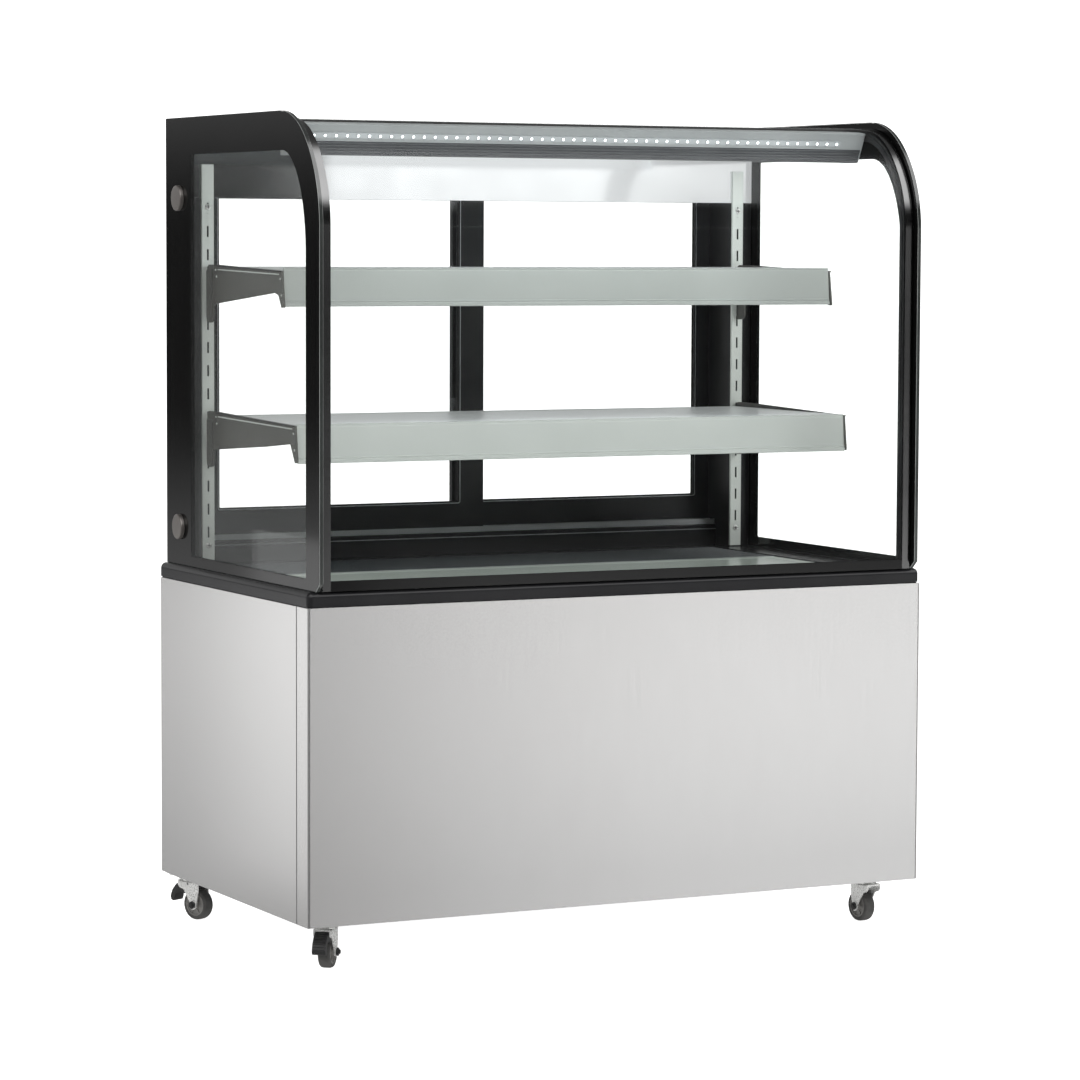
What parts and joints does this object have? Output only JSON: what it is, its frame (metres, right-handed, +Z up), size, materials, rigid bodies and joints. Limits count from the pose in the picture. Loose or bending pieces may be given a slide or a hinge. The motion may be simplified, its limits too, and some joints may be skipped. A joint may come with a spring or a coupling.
{
  "type": "glass display showcase",
  "caption": "Refrigerated bakery display showcase with a curved glass front, two shelves, sliding rear doors and a steel base on swivel casters.",
  "frame": {"origin": "on the floor at the centre of the footprint", "axes": "+X to the right when facing the curved glass front, +Y from the front to the rear doors, +Z up"},
  "size_m": [1.2, 0.694, 1.4525],
  "materials": {
    "stainless_panel": "fine vertical brushing, satin",
    "galvanised_sheet": "plain mill finish",
    "black_moulding": "satin black",
    "well_liner": "satin grey liner over foam",
    "fin_aluminium": "plain",
    "motor_black": "satin black",
    "deck_enamel": "pale grey-green enamel, satin",
    "deck_black": "satin black",
    "tempered_glass": "clear, polished edges, black fired border",
    "cap_metal": "satin grey-brown",
    "black_frame": "satin black",
    "top_black": "glossy black",
    "lamp_housing": "satin",
    "lamp": "white lamps on a white board",
    "header_sheet": "satin grey",
    "track_aluminium": "satin anodised",
    "upright_metal": "satin pale grey",
    "screw_zinc": "zinc plated",
    "shelf_enamel": "pale grey enamel, satin",
    "strip_aluminium": "satin, pale grey-green",
    "bracket_grey": "dark grey satin",
    "compressor_black": "gloss black",
    "copper_line": "bare copper",
    "pan_grey": "moulded",
    "control_black": "moulded black",
    "key_grey": "moulded grey",
    "rocker_green": "translucent green",
    "rocker_red": "translucent red",
    "gland_black": "moulded black",
    "caster_zinc": "bright zinc plate, slightly dull",
    "wheel_rubber": "grey-black rubber on a grey core",
    "brake_black": "moulded black with ribs",
    "fan_plastic": "moulded"
  },
  "bodies": {
    "cabinet": {"floor_pan": "galvanised_sheet", "front_panel": "stainless_panel", "side_panel_left": "stainless_panel", "side_panel_right": "stainless_panel", "rear_grille": "galvanised_sheet", "frame_posts": "galvanised_sheet", "base_band": "black_moulding", "cold_well": "well_liner", "evaporator": "fin_aluminium", "fan_motors": "motor_black", "deck_plate": "deck_enamel", "deck_grille": "deck_black", "side_glass_left": "tempered_glass", "side_glass_right": "tempered_glass", "glass_caps": "cap_metal", "front_glass": "tempered_glass", "glass_rails": "black_frame", "top_panel": "top_black", "light_canopy": "lamp_housing", "led_strip": "lamp", "rear_header": "header_sheet", "rear_posts": "black_frame", "rear_beam": "black_frame", "rear_sill": "black_frame", "door_tracks": "track_aluminium", "pilasters": "upright_metal", "panel_screws": "screw_zinc", "shelf_upper": "shelf_enamel", "shelf_lower": "shelf_enamel", "price_strip_upper": "strip_aluminium", "price_strip_lower": "strip_aluminium", "shelf_brackets": "bracket_grey", "compressor": "compressor_black", "condenser": "motor_black", "refrigerant_lines": "copper_line", "drain_pan": "pan_grey", "controller": "control_black", "switch_bezels": "control_black", "cable_gland": "gland_black", "caster_plates": "caster_zinc"},
    "door_left": {"door_left_frame": "black_frame", "door_left_glass": "tempered_glass"},
    "door_right": {"door_right_frame": "black_frame", "door_right_glass": "tempered_glass"},
    "condenser_fan": {"condenser_fan": "fan_plastic"},
    "evaporator_fan": {"evaporator_fan": "fan_plastic"},
    "light_switch": {"light_switch": "rocker_green"},
    "power_switch": {"power_switch": "rocker_red"},
    "key_up": {"key_up": "key_grey"},
    "key_down": {"key_down": "key_grey"},
    "fork_fl": {"fork_fl": "caster_zinc"},
    "wheel_fl": {"wheel_fl": "wheel_rubber"},
    "fork_fr": {"fork_fr": "caster_zinc"},
    "wheel_fr": {"wheel_fr": "wheel_rubber"},
    "fork_rl": {"fork_rl": "caster_zinc"},
    "wheel_rl": {"wheel_rl": "wheel_rubber"},
    "fork_rr": {"fork_rr": "caster_zinc"},
    "wheel_rr": {"wheel_rr": "wheel_rubber"},
    "brake_fl": {"brake_fl": "brake_black"},
    "brake_rl": {"brake_rl": "brake_black"}
  },
  "joints": [
    {"name": "door_left_slide", "type": "slide", "parent": "cabinet", "child": "door_left", "axis": [1, 0, 0], "range_m": [0, 0.49]},
    {"name": "door_right_slide", "type": "slide", "parent": "cabinet", "child": "door_right", "axis": [-1, 0, 0], "range_m": [0, 0.49]},
    {"name": "condenser_fan_spin", "type": "hinge", "parent": "cabinet", "child": "condenser_fan", "pos_m": [-0.21, 0.049, 0.22], "axis": [0, -1, 0], "continuous": true},
    {"name": "evaporator_fan_spin", "type": "hinge", "parent": "cabinet", "child": "evaporator_fan", "pos_m": [0, 0.085, 0.583], "axis": [0, -1, 0], "continuous": true},
    {"name": "light_switch_rock", "type": "hinge", "parent": "cabinet", "child": "light_switch", "pos_m": [0.3, 0.3375, 0.56], "axis": [-1, 0, 0], "range_deg": [0, 14]},
    {"name": "power_switch_rock", "type": "hinge", "parent": "cabinet", "child": "power_switch", "pos_m": [0.34, 0.3375, 0.56], "axis": [-1, 0, 0], "range_deg": [0, 14]},
    {"name": "key_up_press", "type": "slide", "parent": "cabinet", "child": "key_up", "axis": [0, -1, 0], "range_m": [0, 0.0008], "stiffness_N_per_m": 1500, "springref_m": -0.0004},
    {"name": "key_down_press", "type": "slide", "parent": "cabinet", "child": "key_down", "axis": [0, -1, 0], "range_m": [0, 0.0008], "stiffness_N_per_m": 1500, "springref_m": -0.0004},
    {"name": "swivel_fl", "type": "hinge", "parent": "cabinet", "child": "fork_fl", "pos_m": [-0.538, -0.262, 0.075], "axis": [0, 0, 1], "continuous": true},
    {"name": "roll_fl", "type": "hinge", "parent": "fork_fl", "child": "wheel_fl", "pos_m": [-0.52793, -0.24957, 0.028], "axis": [-0.7771, 0.6293, 0], "continuous": true},
    {"name": "brake_fl_press", "type": "hinge", "parent": "fork_fl", "child": "brake_fl", "pos_m": [-0.54744, -0.27366, 0.062], "axis": [0.7771, -0.6293, 0], "range_deg": [0, 10]},
    {"name": "swivel_fr", "type": "hinge", "parent": "cabinet", "child": "fork_fr", "pos_m": [0.538, -0.262, 0.075], "axis": [0, 0, 1], "continuous": true},
    {"name": "roll_fr", "type": "hinge", "parent": "fork_fr", "child": "wheel_fr", "pos_m": [0.53633, -0.24609, 0.028], "axis": [-0.9945, -0.1045, 0], "continuous": true},
    {"name": "swivel_rl", "type": "hinge", "parent": "cabinet", "child": "fork_rl", "pos_m": [-0.557, 0.3, 0.075], "axis": [0, 0, 1], "continuous": true},
    {"name": "roll_rl", "type": "hinge", "parent": "fork_rl", "child": "wheel_rl", "pos_m": [-0.54999, 0.28562, 0.028], "axis": [0.8988, 0.4384, 0], "continuous": true},
    {"name": "brake_rl_press", "type": "hinge", "parent": "fork_rl", "child": "brake_rl", "pos_m": [-0.56358, 0.31348, 0.062], "axis": [-0.8988, -0.4384, 0], "range_deg": [0, 10]},
    {"name": "swivel_rr", "type": "hinge", "parent": "cabinet", "child": "fork_rr", "pos_m": [0.557, 0.3, 0.075], "axis": [0, 0, 1], "continuous": true},
    {"name": "roll_rr", "type": "hinge", "parent": "fork_rr", "child": "wheel_rr", "pos_m": [0.56247, 0.28497, 0.028], "axis": [0.9397, 0.342, 0], "continuous": true}
  ]
}
